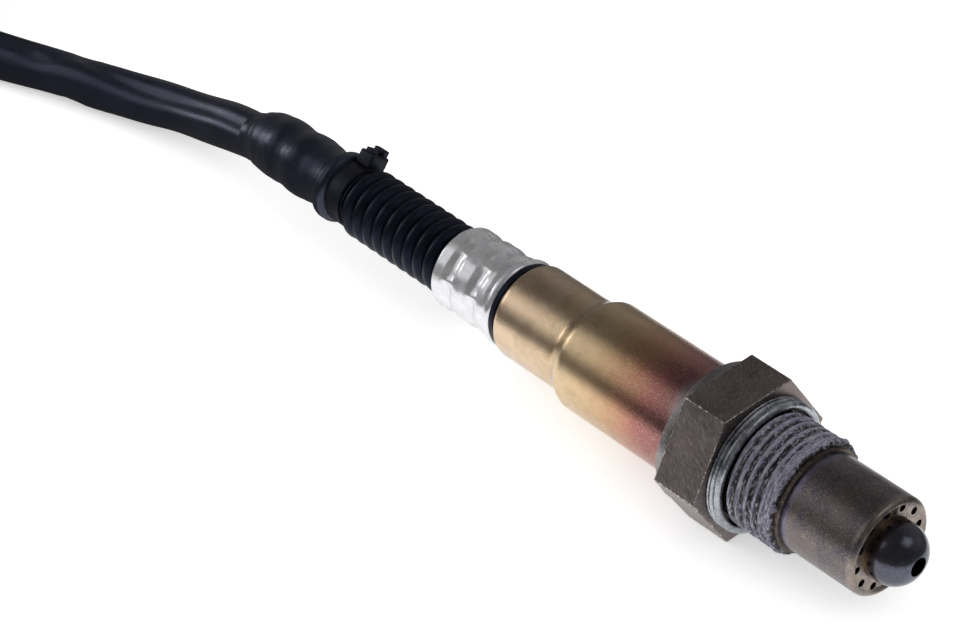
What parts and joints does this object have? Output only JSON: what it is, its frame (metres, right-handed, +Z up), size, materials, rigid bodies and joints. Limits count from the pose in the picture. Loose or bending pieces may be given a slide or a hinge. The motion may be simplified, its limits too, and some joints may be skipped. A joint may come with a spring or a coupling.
{
  "type": "oxygen sensor",
  "caption": "Screw-in wide-band exhaust oxygen sensor with drilled protection tube, hexagon body, stepped sleeve, ribbed hose and a lead with connector.",
  "frame": {"origin": "on the axis at the start of the thread, 0.15 mm in front of the gasket sealing face", "axes": "+X along the axis towards the nose, +Z up from the hexagon's lower flat, which the sensor lies on"},
  "size_m": [0.4021, 0.0578, 0.022],
  "materials": {
    "nose_steel": "heat-darkened satin stainless steel",
    "housing_steel": "turned steel, darkened by heat",
    "gasket_steel": "plated folded steel ring",
    "sleeve_steel": "heat-tinted satin stainless steel",
    "ceramic": "fired, matt",
    "talc": "pressed powder",
    "spring_steel": "spring steel",
    "contact_metal": "plated spring alloy",
    "grommet_rubber": "moulded elastomer",
    "wire_insulation": "fluoropolymer insulation",
    "hose_rubber": "satin moulded hose",
    "crimp_aluminium": "bright, crimped",
    "boot_tubing": "satin shrunk tubing",
    "lead_tubing": "satin shrunk tubing over wires",
    "tie_nylon": "satin nylon",
    "connector_plastic": "moulded, satin",
    "lock_plastic": "moulded, satin",
    "seal_rubber": "silicone rubber"
  },
  "bodies": {
    "root": {"cable": "lead_tubing", "cable_coil": "lead_tubing", "cable_tail": "lead_tubing", "cable_tie": "tie_nylon", "coil_tie": "tie_nylon", "connector_cap": "connector_plastic", "connector_housing": "connector_plastic", "connector_lock": "lock_plastic", "connector_seal": "seal_rubber", "contact_1": "contact_metal", "contact_2": "contact_metal", "contact_3": "contact_metal", "contact_4": "contact_metal", "contact_5": "contact_metal", "contact_holder_lower": "ceramic", "contact_holder_upper": "ceramic", "corrugated_hose": "hose_rubber", "crimp_ring": "crimp_aluminium", "front_ceramic": "ceramic", "gasket": "gasket_steel", "grommet": "grommet_rubber", "holder_clip": "spring_steel", "inner_protection_tube": "nose_steel", "lead_wire_1": "wire_insulation", "lead_wire_2": "wire_insulation", "lead_wire_3": "wire_insulation", "lead_wire_4": "wire_insulation", "lead_wire_5": "wire_insulation", "outer_protection_tube": "nose_steel", "press_ring": "spring_steel", "protective_sleeve": "sleeve_steel", "rear_ceramic": "ceramic", "sensing_element": "ceramic", "sensor_housing": "housing_steel", "shrink_boot": "boot_tubing", "talc_ring": "talc", "terminal_1": "contact_metal", "terminal_2": "contact_metal", "terminal_3": "contact_metal", "terminal_4": "contact_metal", "terminal_5": "contact_metal", "wire_seal": "seal_rubber"}
  },
  "joints": []
}
